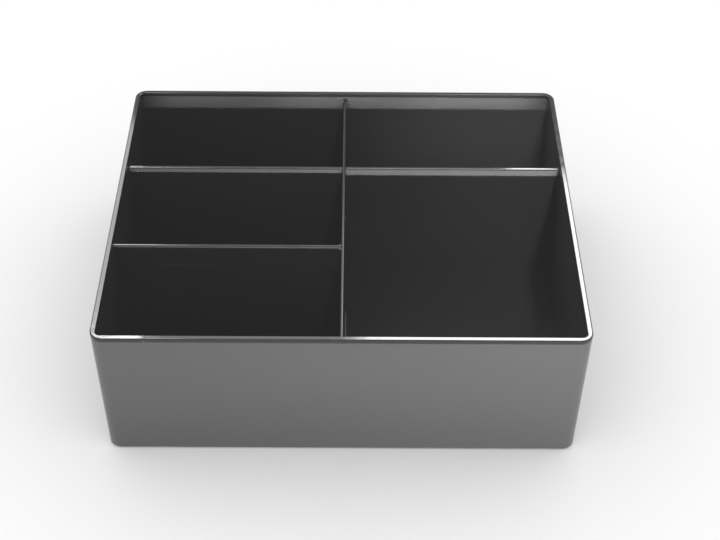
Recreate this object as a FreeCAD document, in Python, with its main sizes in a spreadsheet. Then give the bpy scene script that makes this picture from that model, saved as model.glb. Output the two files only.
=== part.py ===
import FreeCAD, Part
import os
import sys
import Sketcher

# ---------------------------------------------------------------------------
# Drawer organizer insert: a deep moulded tray with three drop-in dividers and
# four non-slip feet.
#
# Frame: millimetres, +X along the width, +Y towards the back, +Z up.  The
# origin is under the middle of the footprint, on the plane the feet stand on.
# ---------------------------------------------------------------------------

doc = FreeCAD.newDocument("drawer_organizer_insert")
V = FreeCAD.Vector

# --- driving dimensions ------------------------------------------------------
ROWS = [
    # alias, value, meaning
    ("tray_width", 304.8, "outside width at the rim"),
    ("tray_depth", 254.0, "outside depth at the rim"),
    ("tray_height", 101.6, "height of the moulding, base edge to rim"),
    ("draft_inset", 1.15, "how far each wall leans in from rim to base"),
    ("corner_radius", 8.0, "outside radius of the upright corners"),
    ("inner_radius", 3.6, "inside radius of the upright corners"),
    ("wall", 3.4, "wall thickness"),
    ("floor_thick", 3.2, "floor thickness, flat underneath"),
    ("rim_outer_round", 0.8, "rounding of the rim, outside"),
    ("rim_inner_round", 0.45, "rounding of the rim, inside"),
    ("base_round", 1.0, "rounding of the base edge"),
    ("floor_round", 1.4, "rounding between floor and walls"),
    ("foot_proud", 0.8, "how far the feet stand below the base edge"),
    ("foot_diameter", 14.0, "foot diameter"),
    ("foot_round", 0.6, "rounding of the foot's lower edge"),
    ("foot_inset", 17.0, "foot centre from the outside faces at the base"),
    ("seat_depth", 0.5, "depth of the shallow seat each foot is stuck in"),
    ("seat_gap", 0.4, "gap around a foot in its seat"),
    ("dimple_diameter", 7.0, "round dimple where the moulding was fed"),
    ("dimple_depth", 0.8, "depth of that dimple"),
    ("gate_diameter", 3.2, "stub in the dimple"),
    ("gate_height", 0.6, "height of that stub, kept inside the dimple"),
    ("cross_thick", 2.8, "cross divider thickness"),
    ("cross_drop", 5.6, "cross divider top edge below the rim"),
    ("cross_round", 0.8, "rounding of the cross divider's top edges"),
    ("divider_thick", 1.9, "thickness of the centre and short dividers"),
    ("divider_drop", 4.0, "their top edges below the rim"),
    ("divider_round", 0.7, "rounding of their top edges"),
    ("divider_chamfer", 2.4, "cut corners that clear the floor rounding"),
    ("end_gap", 0.3, "gap between a divider's end and the wall"),
    ("side_gap", 0.25, "gap between a divider and each guide rib"),
    ("rib_width", 1.4, "guide rib, along the wall"),
    ("rib_proud", 1.3, "guide rib, out from the wall"),
    ("rib_drop", 1.0, "guide rib top below its divider's top"),
    ("rib_round", 0.45, "rounding of the ribs' standing edges"),
    ("cross_back", 45.0, "cross divider's middle plane, behind the centre"),
    ("short_front", 37.5, "short divider's middle plane, before the centre"),
    ("lap_gap", 0.2, "gap each side in the halved joint"),
    ("lap_end_gap", 0.3, "gap between the two slot ends"),
    # worked out from the above
    ("base_z", "=foot_proud", "height of the base edge"),
    ("rim_z", "=foot_proud + tray_height", "height of the rim"),
    ("floor_z", "=foot_proud + floor_thick", "height of the floor surface"),
    ("slope", "=draft_inset / tray_height", "lean of the walls"),
    ("divider_z", "=rim_z - divider_drop", "top of the centre and short dividers"),
    ("rib_z", "=divider_z - rib_drop", "top of their guide ribs"),
    ("cross_z", "=rim_z - cross_drop", "top of the cross divider"),
    ("cross_rib_z", "=cross_z - rib_drop", "top of its guide ribs"),
    ("lap_z", "=(floor_z + cross_z) / 2", "middle of the halved joint"),
    ("inner_half_x", "=tray_width / 2 - wall", "inside face at the rim, X"),
    ("inner_half_y", "=tray_depth / 2 - wall", "inside face at the rim, Y"),
    ("rib_offset", "=divider_thick / 2 + side_gap + rib_width / 2",
     "rib middle from the centre or short divider's middle plane"),
    ("cross_rib_offset", "=cross_thick / 2 + side_gap + rib_width / 2",
     "rib middle from the cross divider's middle plane"),
]
sheet = doc.addObject("Spreadsheet::Sheet", "Dimensions")
for i, (alias, value, meaning) in enumerate(ROWS, start=1):
    sheet.set("A%d" % i, meaning)
    sheet.set("B%d" % i, str(value))
    sheet.setAlias("B%d" % i, alias)
doc.recompute()


def dim(alias):
    """The present value of one driving dimension, as a plain number."""
    value = sheet.get(alias)
    return float(getattr(value, "Value", value))


def val(expr):
    """The value of an expression in sheet aliases, for a first guess."""
    names = {alias: dim(alias) for alias, _, _ in ROWS}
    total = 0.0
    # expressions here are sums of products, so they are worked out term by term
    for sign, term in split_terms(expr):
        product = 1.0
        for op, factor in split_factors(term):
            number = names[factor] if factor in names else float(factor)
            product = product * number if op == "*" else product / number
        total += sign * product
    return total


def split_terms(expr):
    terms, sign, word = [], 1.0, ""
    for ch in expr.replace(" ", ""):
        if ch in "+-" and word:
            terms.append((sign, word))
            sign, word = (1.0 if ch == "+" else -1.0), ""
        elif ch == "-":
            sign = -sign
        elif ch != "+":
            word += ch
    terms.append((sign, word))
    return terms


def split_factors(term):
    factors, op, word = [], "*", ""
    for ch in term:
        if ch in "*/":
            factors.append((op, word))
            op, word = ch, ""
        else:
            word += ch
    factors.append((op, word))
    return factors


def minus(expr):
    """The same sum with every term's sign turned."""
    out = ""
    for sign, term in split_terms(expr):
        out += (" - " if sign > 0 else " + ") + term
    return out.strip() if not out.startswith(" + ") else out[3:]


def bound(expr):
    """The same expression with each alias read from the sheet."""
    out, word = "", ""
    names = {alias for alias, _, _ in ROWS}
    for ch in expr + " ":
        if ch.isalnum() or ch == "_":
            word += ch
            continue
        out += ("Dimensions." + word) if word in names else word
        word = ""
        out += ch
    return out.strip()


# --- helpers -----------------------------------------------------------------
def new_body(name):
    body = doc.addObject("PartDesign::Body", name)
    body.Label = name
    return body


def plane(body, role):
    for feature in body.Origin.OriginFeatures:
        if feature.Role == role:
            return feature
    raise RuntimeError("no plane " + role)


def new_sketch(body, name, role, offset):
    """A sketch on one of the body's origin planes, moved along its normal."""
    sketch = body.newObject("Sketcher::SketchObject", name)
    sketch.AttachmentSupport = [(plane(body, role), "")]
    sketch.MapMode = "FlatFace"
    sketch.setExpression("AttachmentOffset.Base.z", bound(offset))
    return sketch


def bind(sketch, index, name, expr):
    sketch.renameConstraint(index, name)
    sketch.setExpression("Constraints." + name, bound(expr))


def polygon(body, name, role, offset, outlines):
    """Closed outlines whose corners are (x, y) expressions in the sheet."""
    sketch = new_sketch(body, name, role, offset)
    count = 0
    for k, points in enumerate(outlines):
        n = len(points)
        xy = [(val(px), val(py)) for px, py in points]
        for i in range(n):
            a, b = xy[i], xy[(i + 1) % n]
            sketch.addGeometry(
                Part.LineSegment(V(a[0], a[1], 0), V(b[0], b[1], 0)), False)
        for i in range(n):
            sketch.addConstraint(Sketcher.Constraint(
                "Coincident", count + i, 2, count + (i + 1) % n, 1))
        for i, (px, py) in enumerate(points):
            c = sketch.addConstraint(Sketcher.Constraint(
                "DistanceX", -1, 1, count + i, 1, xy[i][0]))
            bind(sketch, c, "px%d_%d" % (k, i), px)
            c = sketch.addConstraint(Sketcher.Constraint(
                "DistanceY", -1, 1, count + i, 1, xy[i][1]))
            bind(sketch, c, "py%d_%d" % (k, i), py)
        count += n
    return sketch


def rounded_rect(body, name, offset, half_x, half_y, radius):
    """A rounded rectangle about the origin, on a level plane."""
    sketch = new_sketch(body, name, "XY_Plane", offset)
    hx, hy, r = val(half_x), val(half_y), val(radius)
    quarter = 1.5707963267948966
    lines = [
        ((-hx + r, -hy), (hx - r, -hy)),
        ((hx, -hy + r), (hx, hy - r)),
        ((hx - r, hy), (-hx + r, hy)),
        ((-hx, hy - r), (-hx, -hy + r)),
    ]
    for a, b in lines:
        sketch.addGeometry(
            Part.LineSegment(V(a[0], a[1], 0), V(b[0], b[1], 0)), False)
    centres = [(hx - r, -hy + r, 3), (hx - r, hy - r, 0),
               (-hx + r, hy - r, 1), (-hx + r, -hy + r, 2)]
    for cx, cy, q in centres:
        circle = Part.Circle(V(cx, cy, 0), V(0, 0, 1), r)
        sketch.addGeometry(
            Part.ArcOfCircle(circle, q * quarter, (q + 1) * quarter), False)
    # each arc runs from the end of its line to the start of the next
    for i in range(4):
        sketch.addConstraint(
            Sketcher.Constraint("Tangent", i, 2, 4 + i, 1))
        sketch.addConstraint(
            Sketcher.Constraint("Tangent", 4 + i, 2, (i + 1) % 4, 1))
    for i, kind in enumerate(("Horizontal", "Vertical") * 2):
        sketch.addConstraint(Sketcher.Constraint(kind, i))
    for i in range(1, 4):
        sketch.addConstraint(Sketcher.Constraint("Equal", 4, 4 + i))
    c = sketch.addConstraint(Sketcher.Constraint("Radius", 4, r))
    bind(sketch, c, "radius", radius)
    for geo, kind, value, label, expr in (
            (1, "DistanceX", hx, "right", half_x),
            (3, "DistanceX", -hx, "left", minus(half_x)),
            (2, "DistanceY", hy, "back", half_y),
            (0, "DistanceY", -hy, "front", minus(half_y))):
        c = sketch.addConstraint(
            Sketcher.Constraint(kind, -1, 1, geo, 1, value))
        bind(sketch, c, label, expr)
    return sketch


def pad(body, name, sketch, length, symmetric=False, backward=False):
    feature = body.newObject("PartDesign::Pad", name)
    feature.Profile = sketch
    feature.setExpression("Length", bound(length))
    feature.Length = val(length)
    if symmetric:
        feature.Midplane = True
    feature.Reversed = backward
    sketch.Visibility = False
    return feature


def fillet(body, name, base, edges, radius):
    feature = body.newObject("PartDesign::Fillet", name)
    feature.Base = (base, edges)
    feature.setExpression("Radius", bound(radius))
    feature.Radius = val(radius)
    return feature


def edge_names(shape, test):
    return ["Edge%d" % (i + 1) for i, edge in enumerate(shape.Edges)
            if test(edge)]


def middle(edge):
    return edge.valueAt((edge.FirstParameter + edge.LastParameter) / 2.0)


# ---------------------------------------------------------------------------
# outer_tray: floor, four leaning walls, rounded rim, guide ribs
# ---------------------------------------------------------------------------
tray = new_body("outer_tray")

# the outside: two rounded rectangles, the base one smaller by the lean
low = rounded_rect(tray, "base_outline", "base_z",
                   "tray_width / 2 - draft_inset",
                   "tray_depth / 2 - draft_inset", "corner_radius")
high = rounded_rect(tray, "rim_outline", "rim_z",
                    "tray_width / 2", "tray_depth / 2", "corner_radius")
block = tray.newObject("PartDesign::AdditiveLoft", "outside")
block.Profile = low
block.Sections = [high]
block.Ruled = True
doc.recompute()

# the inside: from the floor surface to 1 mm above the rim, same lean
low_in = rounded_rect(tray, "floor_outline", "floor_z",
                      "inner_half_x - slope * tray_height + slope * floor_thick",
                      "inner_half_y - slope * tray_height + slope * floor_thick",
                      "inner_radius")
high_in = rounded_rect(tray, "mouth_outline", "rim_z + 1",
                       "inner_half_x + slope", "inner_half_y + slope",
                       "inner_radius")
cavity = tray.newObject("PartDesign::SubtractiveLoft", "inside")
cavity.Profile = low_in
cavity.Sections = [high_in]
cavity.Ruled = True
doc.recompute()


def cut_circles(body, name, circles, diameter, depth):
    """Round pockets cut upwards into the flat underside."""
    radius = "%s / 2" % diameter if "/" not in diameter else diameter
    sketch = new_sketch(body, name + "_circles", "XY_Plane", "base_z")
    for i, (cx, cy) in enumerate(circles):
        sketch.addGeometry(Part.Circle(V(val(cx), val(cy), 0), V(0, 0, 1),
                                       val(radius)), False)
        c = sketch.addConstraint(Sketcher.Constraint("Radius", i, val(radius)))
        bind(sketch, c, "radius_%d" % i, radius)
        if cx == "0":
            sketch.addConstraint(Sketcher.Constraint("Coincident", i, 3, -1, 1))
            continue
        c = sketch.addConstraint(Sketcher.Constraint(
            "DistanceX", -1, 1, i, 3, val(cx)))
        bind(sketch, c, "across_%d" % i, cx)
        c = sketch.addConstraint(Sketcher.Constraint(
            "DistanceY", -1, 1, i, 3, val(cy)))
        bind(sketch, c, "along_%d" % i, cy)
    doc.recompute()
    before = body.Tip.Shape.Volume
    feature = body.newObject("PartDesign::Pocket", name)
    feature.Profile = sketch
    feature.setExpression("Length", bound(depth))
    feature.Length = val(depth)
    feature.Reversed = True
    sketch.Visibility = False
    doc.recompute()
    if not feature.Shape.Volume < before - 1.0:
        raise RuntimeError(name + " cuts nothing")
    return feature


# four shallow round seats in the underside locate the feet
foot_x = "tray_width / 2 - draft_inset - foot_inset"
foot_y = "tray_depth / 2 - draft_inset - foot_inset"
corners = [(minus(foot_x), minus(foot_y)), (foot_x, minus(foot_y)),
           (foot_x, foot_y), (minus(foot_x), foot_y)]
cut_circles(tray, "foot_seats", corners, "foot_diameter / 2 + seat_gap",
            "seat_depth")

# where the moulding was fed: a small stub in a round dimple, in the middle of
# the underside, so that it stays clear of whatever the tray stands on
dimple = cut_circles(tray, "gate_dimple", [("0", "0")], "dimple_diameter",
                     "dimple_depth")
stub = new_sketch(tray, "gate_circle", "XY_Plane", "base_z + dimple_depth")
stub.addGeometry(Part.Circle(V(0, 0, 0), V(0, 0, 1),
                             val("gate_diameter / 2")), False)
stub.addConstraint(Sketcher.Constraint("Coincident", 0, 3, -1, 1))
c = stub.addConstraint(Sketcher.Constraint(
    "Radius", 0, val("gate_diameter / 2")))
bind(stub, c, "radius", "gate_diameter / 2")
gate = pad(tray, "gate_stub", stub, "gate_height", backward=True)
doc.recompute()
if not gate.Shape.Volume > dimple.Shape.Volume + 1.0:
    raise RuntimeError("the gate stub adds nothing")

# rounded edges: rim outside and inside, base edge, floor corner
rim_z, base_z, floor_z = dim("rim_z"), dim("base_z"), dim("floor_z")
half_x, half_y = dim("tray_width") / 2, dim("tray_depth") / 2


def flat_at(edge, z):
    box = edge.BoundBox
    return abs(box.ZMin - z) < 0.01 and abs(box.ZMax - z) < 0.01


def outermost(edge, reach):
    p = middle(edge)
    return abs(p.x) > half_x - reach or abs(p.y) > half_y - reach or \
        (abs(p.x) > half_x - 4.2 and abs(p.y) > half_y - 4.2
         and reach < 2.0 and
         ((abs(p.x) - half_x + 8.0) ** 2 + (abs(p.y) - half_y + 8.0) ** 2)
         ** 0.5 > 7.0)


shape = gate.Shape
tip = fillet(tray, "floor_corner", gate, edge_names(
    shape, lambda e: flat_at(e, floor_z)), "floor_round")
doc.recompute()
shape = tip.Shape
tip = fillet(tray, "base_edge", tip, edge_names(
    shape, lambda e: flat_at(e, base_z) and outermost(e, 1.6)), "base_round")
doc.recompute()
shape = tip.Shape
tip = fillet(tray, "rim_outside", tip, edge_names(
    shape, lambda e: flat_at(e, rim_z) and outermost(e, 0.5)),
    "rim_outer_round")
doc.recompute()
shape = tip.Shape
tip = fillet(tray, "rim_inside", tip, edge_names(
    shape, lambda e: flat_at(e, rim_z) and not outermost(e, 1.4)),
    "rim_inner_round")
doc.recompute()


# guide ribs: upright ribs in pairs that hold a divider's end between them.
# Each follows the lean of its wall and has a sloped top that leads a divider
# in.  Its outline is a leaning strip that starts inside the wall.
def rib_outline(half, side, top):
    """Corners on the plane across the wall; side is '' or '-', top an alias."""
    inside = "wall / 2"
    rib_low = "%s - slope * rim_z + slope * floor_z" % half
    rib_high = "%s - slope * rim_z + slope * %s" % (half, top)
    low_z, high_z = "floor_z - floor_thick / 2", top
    corners = [
        ("%s + %s" % (rib_low, inside), low_z),
        ("%s - rib_proud" % rib_low, low_z),
        ("%s - rib_proud" % rib_high, "%s - rib_proud" % top),
        (rib_high, high_z),
        ("%s + %s" % (rib_high, inside), high_z),
    ]
    if side == "-":
        corners = [(minus(x), z) for x, z in corners]
    return corners


def rib_pad(body, name, role, offset, outlines):
    sketch = polygon(body, name + "_outline", role, offset, outlines)
    feature = pad(body, name, sketch, "rib_width", symmetric=True)
    doc.recompute()
    return feature


both_x = [rib_outline("inner_half_x", "", "cross_rib_z"),
          rib_outline("inner_half_x", "-", "cross_rib_z")]
both_y = [rib_outline("inner_half_y", "", "rib_z"),
          rib_outline("inner_half_y", "-", "rib_z")]
left_x = [rib_outline("inner_half_x", "-", "rib_z")]
# an XZ plane's normal points to -Y, so its offsets carry the other sign
rib_pad(tray, "cross_ribs_back", "XZ_Plane", "-cross_back - cross_rib_offset", both_x)
rib_pad(tray, "cross_ribs_front", "XZ_Plane", "-cross_back + cross_rib_offset", both_x)
rib_pad(tray, "short_rib_back", "XZ_Plane", "short_front - rib_offset", left_x)
rib_pad(tray, "short_rib_front", "XZ_Plane", "short_front + rib_offset", left_x)
rib_pad(tray, "centre_ribs_right", "YZ_Plane", "rib_offset", both_y)
tip = rib_pad(tray, "centre_ribs_left", "YZ_Plane", "-rib_offset", both_y)

# rounded standing edges on every rib
length_low = dim("cross_rib_z") - dim("rib_proud") - floor_z - 3.0


def rib_edge(edge):
    """A long upright edge that stands clear of the walls."""
    if edge.Length < length_low or edge.BoundBox.ZMax > dim("rib_z"):
        return False
    p = middle(edge)
    face_x = dim("inner_half_x") - dim("slope") * (rim_z - p.z)
    face_y = dim("inner_half_y") - dim("slope") * (rim_z - p.z)
    proud = dim("rib_proud")
    return abs(abs(p.x) - (face_x - proud)) < 0.05 or \
        abs(abs(p.y) - (face_y - proud)) < 0.05


tip = fillet(tray, "rib_edges", tip,
             edge_names(tip.Shape, rib_edge), "rib_round")
doc.recompute()
tray.Tip = tip


# ---------------------------------------------------------------------------
# dividers
# ---------------------------------------------------------------------------
def top_edges(shape):
    """The long edges along a divider's top."""
    z = shape.BoundBox.ZMax
    return edge_names(shape, lambda e: flat_at(e, z) and e.Length > 20.0)


low_x = "inner_half_x - slope * rim_z + slope * floor_z - end_gap"
high_x = "inner_half_x - slope * divider_drop - end_gap"
cross_x = "inner_half_x - slope * cross_drop - end_gap"
low_y = "inner_half_y - slope * rim_z + slope * floor_z - end_gap"
high_y = "inner_half_y - slope * divider_drop - end_gap"
lap = "divider_thick / 2 + lap_gap"
cross_lap = "cross_thick / 2 + lap_gap"

# cross_divider: wall to wall, two thirds of the way back; its slot is open
# at the top and takes the centre divider
cross = new_body("cross_divider")
outline = polygon(cross, "cross_outline", "XZ_Plane", "0", [[
    (minus(low_x) + " + divider_chamfer", "floor_z"),
    (low_x + " - divider_chamfer", "floor_z"),
    (low_x, "floor_z + divider_chamfer"),
    (cross_x, "cross_z"),
    (lap, "cross_z"),
    (lap, "lap_z - lap_end_gap / 2"),
    (minus(lap), "lap_z - lap_end_gap / 2"),
    (minus(lap), "cross_z"),
    (minus(cross_x), "cross_z"),
    (minus(low_x), "floor_z + divider_chamfer"),
]])
panel = pad(cross, "cross_panel", outline, "cross_thick", symmetric=True)
doc.recompute()
cross.Tip = fillet(cross, "cross_top", panel, top_edges(panel.Shape),
                   "cross_round")
cross.setExpression("Placement.Base.y", bound("cross_back"))
doc.recompute()

# centre_divider: front wall to back wall on the middle line; its slot is open
# at the bottom and drops over the cross divider.  A pair of ribs on its left
# face takes the short divider's end.
centre = new_body("centre_divider")
outline = polygon(centre, "centre_outline", "YZ_Plane", "0", [[
    (minus(low_y) + " + divider_chamfer", "floor_z"),
    ("cross_back - " + cross_lap.replace(" + ", " - "), "floor_z"),
    ("cross_back - " + cross_lap.replace(" + ", " - "), "lap_z + lap_end_gap / 2"),
    ("cross_back + " + cross_lap, "lap_z + lap_end_gap / 2"),
    ("cross_back + " + cross_lap, "floor_z"),
    (low_y + " - divider_chamfer", "floor_z"),
    (low_y, "floor_z + divider_chamfer"),
    (high_y, "divider_z"),
    (minus(high_y), "divider_z"),
    (minus(low_y), "floor_z + divider_chamfer"),
]])
panel = pad(centre, "centre_panel", outline, "divider_thick", symmetric=True)
doc.recompute()
tip = fillet(centre, "centre_top", panel, top_edges(panel.Shape),
             "divider_round")
doc.recompute()
face = "-divider_thick / 2"
near = "-short_front - rib_offset - rib_width / 2"
far = "-short_front - rib_offset + rib_width / 2"
near2 = "-short_front + rib_offset - rib_width / 2"
far2 = "-short_front + rib_offset + rib_width / 2"
outline = polygon(centre, "seat_outline", "XY_Plane", "floor_z", [
    [(face + " + divider_thick / 4", near), (face + " + divider_thick / 4", far),
     (face + " - rib_proud", far), (face + " - rib_proud", near)],
    [(face + " + divider_thick / 4", near2), (face + " + divider_thick / 4", far2),
     (face + " - rib_proud", far2), (face + " - rib_proud", near2)],
])
tip = pad(centre, "seat_ribs", outline, "rib_z - floor_z")
doc.recompute()


def seat_edge(edge):
    p = middle(edge)
    return abs(p.x + dim("divider_thick") / 2 + dim("rib_proud")) < 0.01 and \
        edge.Length > 50.0


tip = fillet(centre, "seat_rib_edges", tip, edge_names(tip.Shape, seat_edge),
             "rib_round")
centre.Tip = tip
doc.recompute()

# short_divider: left wall to the centre divider, one third of the way back
short = new_body("short_divider")
end_x = "-divider_thick / 2 - end_gap"
outline = polygon(short, "short_outline", "XZ_Plane", "0", [[
    (minus(low_x) + " + divider_chamfer", "floor_z"),
    (end_x, "floor_z"),
    (end_x, "divider_z"),
    (minus(high_x), "divider_z"),
    (minus(low_x), "floor_z + divider_chamfer"),
]])
panel = pad(short, "short_panel", outline, "divider_thick", symmetric=True)
doc.recompute()
short.Tip = fillet(short, "short_top", panel, top_edges(panel.Shape),
                   "divider_round")
short.setExpression("Placement.Base.y", bound("-short_front"))
doc.recompute()

# ---------------------------------------------------------------------------
# feet: round non-slip pads stuck in the seats under the floor, one near each
# corner, standing a little below the floor
# ---------------------------------------------------------------------------
feet = []
for name, sx, sy in (("foot_front_left", "-", "-"),
                     ("foot_front_right", "", "-"),
                     ("foot_back_left", "-", ""),
                     ("foot_back_right", "", "")):
    foot = new_body(name)
    sketch = new_sketch(foot, name + "_outline", "XY_Plane", "0")
    sketch.addGeometry(Part.Circle(V(0, 0, 0), V(0, 0, 1),
                                   val("foot_diameter / 2")), False)
    sketch.addConstraint(Sketcher.Constraint("Coincident", 0, 3, -1, 1))
    c = sketch.addConstraint(Sketcher.Constraint(
        "Radius", 0, val("foot_diameter / 2")))
    bind(sketch, c, "radius", "foot_diameter / 2")
    disc = pad(foot, name + "_disc", sketch, "foot_proud + seat_depth")
    doc.recompute()
    foot.Tip = fillet(foot, name + "_edge", disc, edge_names(
        disc.Shape, lambda e: flat_at(e, 0.0)), "foot_round")
    foot.setExpression("Placement.Base.x",
                       bound(minus(foot_x) if sx else foot_x))
    foot.setExpression("Placement.Base.y",
                       bound(minus(foot_y) if sy else foot_y))
    doc.recompute()
    feet.append(foot)

# ---------------------------------------------------------------------------
# check every object and each sub-part, then write them
# ---------------------------------------------------------------------------
doc.recompute()
bad = [o.Name + ": " + ", ".join(o.State) for o in doc.Objects
       if "Invalid" in o.State or "Error" in o.State]
if bad:
    print("failed objects:", "; ".join(bad))
    sys.exit(1)

parts = [tray, cross, centre, short] + feet
for body in parts:
    shape = body.Shape
    if shape.isNull() or not shape.isValid() or len(shape.Solids) != 1:
        print("bad shape:", body.Label, "solids", len(shape.Solids))
        sys.exit(1)

os.makedirs("parts", exist_ok=True)
for body in parts:
    body.Shape.exportStep(os.path.join("parts", body.Label + ".step"))
    box = body.Shape.BoundBox
    print("%-18s volume %9.1f  x %.2f..%.2f  y %.2f..%.2f  z %.2f..%.2f" % (
        body.Label, body.Shape.Volume, box.XMin, box.XMax, box.YMin, box.YMax,
        box.ZMin, box.ZMax))
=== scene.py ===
import math

import bpy
from mathutils import Matrix, Vector


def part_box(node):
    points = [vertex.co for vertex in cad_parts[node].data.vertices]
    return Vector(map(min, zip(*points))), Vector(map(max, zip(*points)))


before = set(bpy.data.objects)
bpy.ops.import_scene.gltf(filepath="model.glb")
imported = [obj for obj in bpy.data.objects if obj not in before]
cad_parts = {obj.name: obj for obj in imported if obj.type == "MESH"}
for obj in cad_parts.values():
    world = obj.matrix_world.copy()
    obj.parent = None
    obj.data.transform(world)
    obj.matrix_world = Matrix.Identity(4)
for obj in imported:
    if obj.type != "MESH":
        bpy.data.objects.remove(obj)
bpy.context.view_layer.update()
scene = bpy.context.scene
scene.view_settings.view_transform = "Standard"
scene.view_settings.look = "None"
scene.view_settings.exposure = 0.0
scene.view_settings.gamma = 1.0
# a little veiling light, as a camera's lens adds in front of a white ground
VEIL = 0.0165
scene.view_settings.use_curve_mapping = True
scene.view_settings.curve_mapping.black_level = (-VEIL, -VEIL, -VEIL)
scene.view_settings.curve_mapping.update()

# ---------------------------------------------------------------------------
# camera: a 70 mm lens looking down at 43 degrees from in front
# ---------------------------------------------------------------------------
CAMERA = Vector((0.00727, -0.71865, 0.71062))
cam_data = bpy.data.cameras.new("camera")
cam = bpy.data.objects.new("camera", cam_data)
scene.collection.objects.link(cam)
scene.camera = cam
cam_data.sensor_fit = "HORIZONTAL"
cam_data.sensor_width = 36.0
cam_data.lens = 70.56
cam_data.clip_start, cam_data.clip_end = 0.05, 50.0
pitch, yaw, roll = math.radians(42.935), math.radians(0.335), math.radians(0.537)
forward = Vector((math.sin(yaw) * math.cos(pitch),
                  math.cos(yaw) * math.cos(pitch), -math.sin(pitch)))
right = Vector((math.cos(yaw), -math.sin(yaw), 0.0))
up = right.cross(forward)
right, up = (right * math.cos(roll) + up * math.sin(roll),
             up * math.cos(roll) - right * math.sin(roll))
turn = Matrix((right, up, -forward)).transposed()
cam.matrix_world = Matrix.Translation(CAMERA) @ turn.to_4x4()

# ---------------------------------------------------------------------------
# stage
# ---------------------------------------------------------------------------
mesh = bpy.data.meshes.new("floor")
s = 6.0
mesh.from_pydata([(-s, -s, 0), (s, -s, 0), (s, s, 0), (-s, s, 0)], [], [(0, 1, 2, 3)])
floor = bpy.data.objects.new("floor", mesh)
scene.collection.objects.link(floor)
mat = bpy.data.materials.new("floor_pale")
mat.use_nodes = True
bsdf = mat.node_tree.nodes["Principled BSDF"]
bsdf.inputs["Base Color"].default_value = (0.82, 0.82, 0.82, 1)
bsdf.inputs["Roughness"].default_value = 0.9
bsdf.inputs["Specular IOR Level"].default_value = 0.2
floor.data.materials.append(mat)

world = bpy.data.worlds.new("studio")
scene.world = world
world.use_nodes = True
# white all round; what the plastic mirrors has a soft glow high up behind the box
SKY, MIRROR_SKY, GLOW = 1.25, 1.0, 3.6
sky = world.node_tree
split = sky.nodes.new("ShaderNodeSeparateXYZ")
sky.links.new(sky.nodes.new("ShaderNodeTexCoord").outputs["Generated"], split.inputs[0])


def sky_ramp(axis, low, high, to_low, to_high):
    n = sky.nodes.new("ShaderNodeMapRange")
    sky.links.new(split.outputs[axis], n.inputs["Value"])
    for key, v in (("From Min", low), ("From Max", high), ("To Min", to_low), ("To Max", to_high)):
        n.inputs[key].default_value = v
    return n.outputs["Result"]


def sky_math(op, a, b):
    n = sky.nodes.new("ShaderNodeMath")
    n.operation = op
    for value, socket in ((a, n.inputs[0]), (b, n.inputs[1])):
        if hasattr(value, "is_output"):
            sky.links.new(value, socket)
        else:
            socket.default_value = value
    return n.outputs[0]


glow = sky_math("POWER", sky_ramp("Z", 0.57, 0.72, 0.0, 1.0), 2.0)
glow = sky_math("MULTIPLY", glow, sky_ramp("Z", 0.80, 0.92, 1.0, 0.0))
glow = sky_math("MULTIPLY", glow, sky_ramp("Y", 0.25, 0.50, 0.0, GLOW))
glow = sky_math("ADD", glow, MIRROR_SKY)
seen = sky.nodes.new("ShaderNodeMix")
seen.inputs["A"].default_value = SKY
sky.links.new(sky.nodes.new("ShaderNodeLightPath").outputs["Is Glossy Ray"], seen.inputs["Factor"])
sky.links.new(glow, seen.inputs["B"])
sky.links.new(seen.outputs["Result"], sky.nodes["Background"].inputs["Strength"])
sky.nodes["Background"].inputs["Color"].default_value = (1, 1, 1, 1)


def panel(name, centre, aim, width, height, radiance, roll=0.0, spread=None, gloss=True):
    """A soft rectangular panel at centre facing aim; radiance is how bright it looks."""
    data = bpy.data.lights.new(name, "AREA")
    data.shape = "RECTANGLE"
    data.size, data.size_y = width, height
    # an area light of power P and area A has radiance P / (pi * A)
    data.energy = radiance * math.pi * width * height
    if spread is not None:
        data.spread = spread
    obj = bpy.data.objects.new(name, data)
    scene.collection.objects.link(obj)
    away = (Vector(centre) - Vector(aim)).normalized()
    side = Vector((0, 0, 1)).cross(away).normalized()
    top = away.cross(side)
    side, top = (side * math.cos(roll) + top * math.sin(roll),
                 top * math.cos(roll) - side * math.sin(roll))
    obj.matrix_world = (Matrix.Translation(centre)
                        @ Matrix((side, top, away)).transposed().to_4x4())
    obj.visible_camera = False
    obj.visible_glossy = gloss
    return obj


def along(start, azimuth, elevation, distance):
    a, e = math.radians(azimuth), math.radians(elevation)
    return Vector(start) + distance * Vector((math.sin(a) * math.cos(e),
                                              math.cos(a) * math.cos(e), math.sin(e)))


def only_on(light, names):
    """Let a light reach only these nodes; everything still casts its shadows."""
    group = bpy.data.collections.new("lit_by_" + light.name)
    for n in names:
        group.objects.link(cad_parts[n])
    light.light_linking.receiver_collection = group


TOP = Vector((0.0, 0.0, 0.10))
OBJECT = sorted(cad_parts)
MIRRORED = Vector((CAMERA.x, CAMERA.y, 2 * 0.1024 - CAMERA.z))
# the floor is lit by the white surround alone, so that the box stands on a soft even ground
# soft panels high up behind the box, which show as the bright runs along the rim
only_on(panel("back_right", along(MIRRORED, 11.4, 47.4, 3.2), MIRRORED, 0.80, 0.82, 23.5,
              math.radians(-32)), OBJECT)
only_on(panel("back_left", along(MIRRORED, -19.6, 50.5, 3.2), MIRRORED, 0.58, 0.62, 38.0), OBJECT)
only_on(panel("back_left_low", along(MIRRORED, -18.8, 38.8, 3.2), MIRRORED, 0.70, 0.66, 6.8),
        OBJECT)
# a broad fill from in front
only_on(panel("front_high", along(TOP, 180 - 14, 30.0, 2.6), TOP, 1.6, 0.9, 1.0, gloss=False),
        OBJECT)
# a narrow one that favours the right-hand compartments
only_on(panel("front_side", along((0.19, 0.08, 0.06), 180 - 6, 42.0, 2.5), (0.19, 0.08, 0.06),
              0.25, 0.25, 2.6, spread=math.radians(9), gloss=False), OBJECT)
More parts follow.
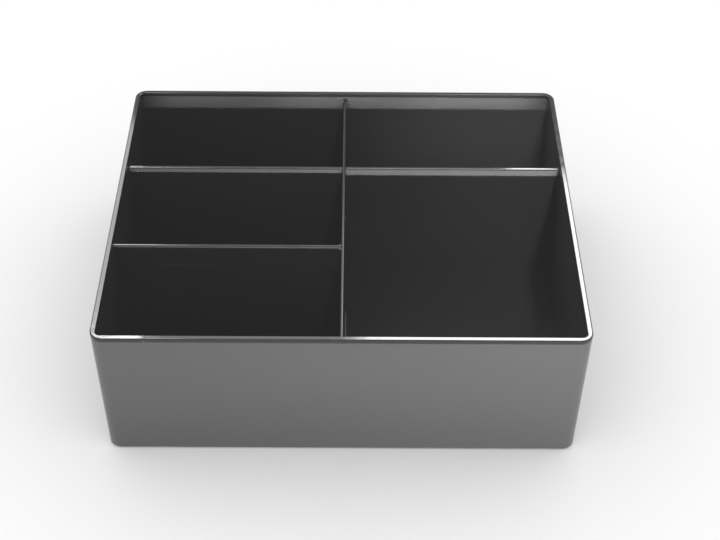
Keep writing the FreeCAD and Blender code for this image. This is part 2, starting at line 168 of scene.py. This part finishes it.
# two low strips in front, level with the rim: they reach only the top of the dividers
for name, x, radiance in (("front_left", -0.42, 105.0), ("front_right", 0.42, 310.0)):
    only_on(panel(name, (x, -3.0, 0.10 + 3.0 * math.tan(math.radians(3.60))), (x, 0.0, 0.12),
                  0.84, 0.02, radiance, spread=math.radians(9), gloss=False),
            ("cross_divider", "centre_divider", "short_divider"))
# a pair just below the rim, for the front of the tray, fading towards its foot
for name, x, radiance in (("face_left", -0.42, 113.0), ("face_right", 0.42, 172.0)):
    only_on(panel(name, (x, -3.0, 0.092), (x, 0.0, 0.092), 0.84, 0.02, radiance,
                  spread=math.radians(9), gloss=False), ("outer_tray",))
# a small one over the cross divider, for the tray's back wall on the right
target = (0.105, 0.1235, 0.068)
only_on(panel("back_side", along(target, 180, 42.0, 0.6), target, 0.14, 0.01, 12.5,
              spread=math.radians(12), gloss=False), ("outer_tray",))
# and small ones over the front rim for the top of the tray's back wall
for k, radiance in enumerate((48.0, 78.0, 108.0)):
    x = -0.093 + 0.093 * k
    only_on(panel("back_wall_%d" % k, (x, -0.10, 0.1105), (x, 0.1235, 0.1000),
                  0.093, 0.004, radiance, spread=math.radians(12), gloss=False),
            ("outer_tray",))


# ---------------------------------------------------------------------------
# materials
# ---------------------------------------------------------------------------
class Graph:
    """A short way to write shader nodes."""

    def __init__(self, name):
        self.mat = bpy.data.materials.new(name)
        self.mat.use_nodes = True
        self.tree = self.mat.node_tree
        self.bsdf = self.tree.nodes["Principled BSDF"]
        self.coord = self.tree.nodes.new("ShaderNodeTexCoord").outputs["Object"]

    def link(self, value, socket):
        if hasattr(value, "is_output"):
            self.tree.links.new(value, socket)
        else:
            socket.default_value = value

    def math(self, op, a, b=0.0, c=None, clamp=False):
        n = self.tree.nodes.new("ShaderNodeMath")
        n.operation = op
        n.use_clamp = clamp
        self.link(a, n.inputs[0])
        self.link(b, n.inputs[1])
        if c is not None:
            self.link(c, n.inputs[2])
        return n.outputs[0]

    def noise(self, scale, detail=2.0, rough=0.5, seed=0.0, stretch=(1, 1, 1), turn=(0, 0, 0)):
        n = self.tree.nodes.new("ShaderNodeTexNoise")
        n.inputs["Scale"].default_value = scale
        n.inputs["Detail"].default_value = detail
        n.inputs["Roughness"].default_value = rough
        self.link(self.place(seed, stretch, turn), n.inputs["Vector"])
        return n.outputs["Fac"]

    def place(self, seed, stretch=(1, 1, 1), turn=(0, 0, 0)):
        m = self.tree.nodes.new("ShaderNodeMapping")
        m.inputs["Location"].default_value = (seed * 1.7, seed * 2.3, seed * 0.9)
        m.inputs["Rotation"].default_value = turn
        m.inputs["Scale"].default_value = stretch
        self.link(self.coord, m.inputs["Vector"])
        return m.outputs["Vector"]

    def cells(self, scale, seed=0.0):
        n = self.tree.nodes.new("ShaderNodeTexVoronoi")
        n.inputs["Scale"].default_value = scale
        self.link(self.place(seed), n.inputs["Vector"])
        return n.outputs["Distance"], n.outputs["Color"]

    def ramp(self, value, low, high, to_low=0.0, to_high=1.0):
        n = self.tree.nodes.new("ShaderNodeMapRange")
        n.interpolation_type = "SMOOTHSTEP"
        self.link(value, n.inputs["Value"])
        for k, v in zip(("From Min", "From Max", "To Min", "To Max"),
                        (low, high, to_low, to_high)):
            n.inputs[k].default_value = v
        return n.outputs["Result"]

    def mix(self, fac, a, b):
        n = self.tree.nodes.new("ShaderNodeMix")
        n.data_type = "RGBA"
        self.link(fac, n.inputs[0])
        self.link(a, n.inputs[6])
        self.link(b, n.inputs[7])
        return n.outputs[2]

    def axis(self, which):
        n = self.tree.nodes.new("ShaderNodeSeparateXYZ")
        self.link(self.coord, n.inputs[0])
        return n.outputs[which]

    def red(self, colour):
        n = self.tree.nodes.new("ShaderNodeSeparateColor")
        self.link(colour, n.inputs[0])
        return n.outputs[0]

    def bump(self, height, distance, normal=None):
        n = self.tree.nodes.new("ShaderNodeBump")
        n.inputs["Strength"].default_value = 1.0
        n.inputs["Distance"].default_value = distance
        self.link(height, n.inputs["Height"])
        if normal is not None:
            self.link(normal, n.inputs["Normal"])
        return n.outputs["Normal"]


def grey(v):
    return (v, v, v * 1.01, 1.0)


def moulded_plastic(name, seed, edge, top_shade_depth, specular):
    """Glossy black moulded plastic. edge is the height of its top edge, where it has rubbed;
    top_shade_depth is how far down from there the black is painted darker, a painted shade along
    the top of the walls."""
    g = Graph(name)
    b = g.bsdf
    b.inputs["IOR"].default_value = 1.5
    b.inputs["Specular IOR Level"].default_value = specular
    # slight flow marks and mottling in the black
    flow = g.noise(9.0, 2.0, 0.55, seed + 1.0, stretch=(1.0, 1.0, 2.2))
    mottle = g.noise(160.0, 2.0, 0.6, seed + 2.0)
    tone = g.math("MULTIPLY_ADD", flow, 0.6, g.math("MULTIPLY", mottle, 0.4))
    colour = g.mix(g.ramp(tone, 0.3, 0.7), grey(0.0100), grey(0.0106))
    # hairline scratches from things taken in and out, in two directions
    hazy = g.noise(20.0, 2.0, 0.6, seed + 16.0)
    one = g.noise(1.0, 0.0, 0.4, seed + 3.0, (14.0, 900.0, 900.0), (0.3, 0.2, 0.5))
    two = g.noise(1.0, 0.0, 0.4, seed + 4.0, (14.0, 900.0, 900.0), (1.2, -0.4, 2.0))
    scratch = g.math("MULTIPLY", g.ramp(g.math("MAXIMUM", one, two), 0.78, 0.84),
                     g.ramp(hazy, 0.50, 0.62))
    # a few grains of dust
    near, cell = g.cells(210.0, seed + 12.0)
    dust = g.math("MULTIPLY", g.ramp(near, 0.075, 0.045), g.ramp(g.red(cell), 0.955, 0.965))
    # rubbed top edge
    rubbed = g.math("MULTIPLY", g.ramp(g.axis(2), edge - 0.0012, edge - 0.0002),
                    g.ramp(mottle, 0.45, 0.60))
    colour = g.mix(g.math("MULTIPLY", rubbed, 0.3), colour, grey(0.018))
    # painted shade: the top band of each wall and divider is darkened towards pure black, standing
    # in for shade along the rim
    painted_top_shade = g.ramp(g.axis(2), edge - top_shade_depth, edge - top_shade_depth + 0.0004)
    colour = g.mix(g.math("MULTIPLY", painted_top_shade, 0.75), colour, grey(0.0))
    colour = g.mix(dust, colour, grey(0.10))
    g.link(colour, b.inputs["Base Color"])
    # gloss: polished, a little duller in patches, on scratches, dust and the top edge
    rough = g.math("MULTIPLY_ADD", g.ramp(hazy, 0.45, 0.7), 0.02, 0.04)
    rough = g.math("MULTIPLY_ADD", mottle, 0.01, rough)
    rough = g.math("MULTIPLY_ADD", scratch, 0.14, rough)
    rough = g.math("MULTIPLY_ADD", rubbed, 0.025, rough)
    rough = g.math("MULTIPLY_ADD", dust, 0.5, rough)
    g.link(rough, b.inputs["Roughness"])
    # surface: long shallow sink, moulding ripple, fine orange peel and dust, in millimetres
    height = g.math("MULTIPLY", g.noise(13.0, 0.0, 0.4, seed + 20.0), 0.22)
    height = g.math("MULTIPLY_ADD", g.noise(75.0, 1.0, 0.5, seed + 21.0), 0.004, height)
    height = g.math("MULTIPLY_ADD", g.noise(900.0, 1.0, 0.55, seed + 22.0), 0.002, height)
    height = g.math("MULTIPLY_ADD", dust, 0.03, height)
    g.link(g.bump(height, 0.001), b.inputs["Normal"])
    return g.mat


def foot_rubber(name, seed):
    """Soft matt black rubber with a fine grain and scuffed dusty patches."""
    g = Graph(name)
    b = g.bsdf
    b.inputs["IOR"].default_value = 1.5
    b.inputs["Specular IOR Level"].default_value = 0.35
    scuff = g.ramp(g.noise(300.0, 4.0, 0.6, seed), 0.45, 0.7)
    g.link(g.mix(scuff, grey(0.026), grey(0.046)), b.inputs["Base Color"])
    g.link(g.math("ADD", 0.62, g.math("MULTIPLY", scuff, 0.2)), b.inputs["Roughness"])
    n = g.bump(g.noise(2600.0, 3.0, 0.6, seed + 1.0), 0.00003)
    g.link(n, b.inputs["Normal"])
    return g.mat


for k, (name, o) in enumerate(sorted(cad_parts.items())):
    if name.startswith("foot"):
        m = foot_rubber(name + "_rubber", 7.0 * k)
    else:
        # 3 mm on the tray and 0.9 mm on the dividers: the depth of the painted shade band along
        # their tops
        m = moulded_plastic(name + "_plastic", 31.0 * k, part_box(name)[1][2],
                            0.0030 if name == "outer_tray" else 0.0009,
                            0.22 if name == "centre_divider" else 0.36)
    o.data.materials.clear()
    o.data.materials.append(m)
